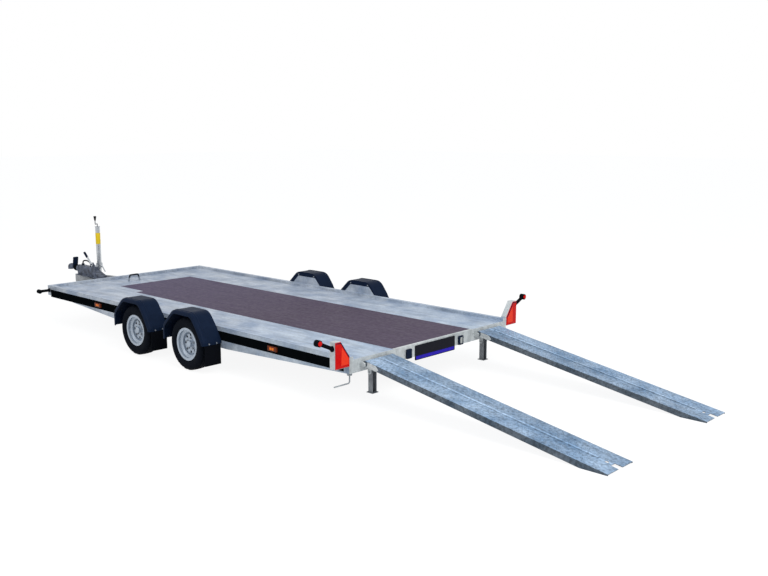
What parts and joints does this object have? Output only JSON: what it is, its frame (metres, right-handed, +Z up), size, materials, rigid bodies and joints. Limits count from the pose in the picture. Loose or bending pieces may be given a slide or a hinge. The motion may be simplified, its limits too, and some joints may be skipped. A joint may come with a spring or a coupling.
{
  "type": "tandem-axle car transporter trailer",
  "caption": "Flatbed car transporter trailer on tandem axles with hooked loading ramps, folding rear legs, overrun ball coupling and jockey wheel, parked with the ramps down.",
  "frame": {"origin": "on the floor under the middle of the whole length, on the centre plane", "axes": "+X forward to the coupling, +Y to the trailer's left, +Z up"},
  "size_m": [8.7394, 2.8358, 1.088],
  "materials": {
    "galvanised_steel": "galvanised, matt",
    "plywood": "coated plywood, satin",
    "black_plastic": "matt black",
    "black_band": "satin black film",
    "rubber": "matt",
    "tyre": "matt",
    "rim_silver": "silver paint",
    "red_lens": "gloss",
    "amber_lens": "gloss",
    "dark_plate": "satin",
    "cast_metal": "zinc plated",
    "jack_steel": "zinc plated"
  },
  "bodies": {
    "chassis": {"side_rail_left": "galvanised_steel", "side_rail_right": "galvanised_steel", "side_stripes": "black_band", "side_markers": "amber_lens", "front_beam": "galvanised_steel", "rear_beam": "galvanised_steel", "cross_members": "galvanised_steel", "track_left": "galvanised_steel", "track_right": "galvanised_steel", "front_apron": "galvanised_steel", "deck_board": "plywood", "drawbar_left": "galvanised_steel", "drawbar_right": "galvanised_steel", "axle_front": "galvanised_steel", "axle_rear": "galvanised_steel", "mudguards": "black_plastic", "guard_plates": "galvanised_steel", "mud_flaps": "rubber", "rear_lamps": "red_lens", "lamp_brackets": "galvanised_steel", "rear_outline_arms": "rubber", "front_outline_arms": "rubber", "number_plate": "dark_plate", "plate_lamps": "black_plastic", "lock_handle": "galvanised_steel", "coupling_housing": "cast_metal", "coupling_bellows": "rubber", "coupling_head": "cast_metal", "coupling_handle": "black_plastic", "supply_cable": "rubber", "cable_ends": "black_plastic", "jack_clamp": "jack_steel", "jack_tube": "jack_steel", "jack_crank": "jack_steel", "front_bow": "jack_steel"},
    "handbrake": {"handbrake_lever": "jack_steel", "handbrake_grip": "black_plastic"},
    "jack_leg": {"jack_leg": "jack_steel"},
    "jack_fork": {"jack_fork": "jack_steel"},
    "jack_wheel": {"jack_wheel": "rubber"},
    "ramp_left": {"ramp_left": "galvanised_steel"},
    "ramp_right": {"ramp_right": "galvanised_steel"},
    "rear_leg_left": {"rear_leg_left": "galvanised_steel"},
    "rear_leg_right": {"rear_leg_right": "galvanised_steel"},
    "wheel_front_left": {"tyre_front_left": "tyre", "rim_front_left": "rim_silver"},
    "wheel_front_right": {"tyre_front_right": "tyre", "rim_front_right": "rim_silver"},
    "wheel_rear_left": {"tyre_rear_left": "tyre", "rim_rear_left": "rim_silver"},
    "wheel_rear_right": {"tyre_rear_right": "tyre", "rim_rear_right": "rim_silver"}
  },
  "joints": [
    {"name": "wheel_front_left_spin", "type": "hinge", "parent": "chassis", "child": "wheel_front_left", "pos_m": [0.77823, 1.1815, 0.252], "axis": [0, 1, 0], "continuous": true},
    {"name": "wheel_front_right_spin", "type": "hinge", "parent": "chassis", "child": "wheel_front_right", "pos_m": [0.77823, -1.1815, 0.252], "axis": [0, 1, 0], "continuous": true},
    {"name": "wheel_rear_left_spin", "type": "hinge", "parent": "chassis", "child": "wheel_rear_left", "pos_m": [-0.09877, 1.1815, 0.252], "axis": [0, 1, 0], "continuous": true},
    {"name": "wheel_rear_right_spin", "type": "hinge", "parent": "chassis", "child": "wheel_rear_right", "pos_m": [-0.09877, -1.1815, 0.252], "axis": [0, 1, 0], "continuous": true},
    {"name": "jack_screw", "type": "slide", "parent": "chassis", "child": "jack_leg", "axis": [0, 0, 1], "range_m": [0, 0.125]},
    {"name": "jack_swivel", "type": "hinge", "parent": "jack_leg", "child": "jack_fork", "pos_m": [4.05173, -0.26, 0.231], "axis": [0, 0, 1], "continuous": true},
    {"name": "jack_wheel_spin", "type": "hinge", "parent": "jack_fork", "child": "jack_wheel", "pos_m": [4.00673, -0.26, 0.1], "axis": [0, 1, 0], "continuous": true},
    {"name": "handbrake_pull", "type": "hinge", "parent": "chassis", "child": "handbrake", "pos_m": [3.64973, 0.08, 0.5], "axis": [0, -1, 0], "range_deg": [-36, 50]},
    {"name": "ramp_left_lift", "type": "hinge", "parent": "chassis", "child": "ramp_left", "pos_m": [-2.13227, 0.76, 0.365], "axis": [0, 1, 0], "range_deg": [0, 75]},
    {"name": "rear_leg_left_fold", "type": "hinge", "parent": "chassis", "child": "rear_leg_left", "pos_m": [-2.06027, 0.765, 0.258], "axis": [0, -1, 0], "range_deg": [0, 90]},
    {"name": "ramp_right_lift", "type": "hinge", "parent": "chassis", "child": "ramp_right", "pos_m": [-2.13227, -0.76, 0.365], "axis": [0, 1, 0], "range_deg": [0, 75]},
    {"name": "rear_leg_right_fold", "type": "hinge", "parent": "chassis", "child": "rear_leg_right", "pos_m": [-2.06027, -0.765, 0.258], "axis": [0, -1, 0], "range_deg": [0, 90]}
  ]
}
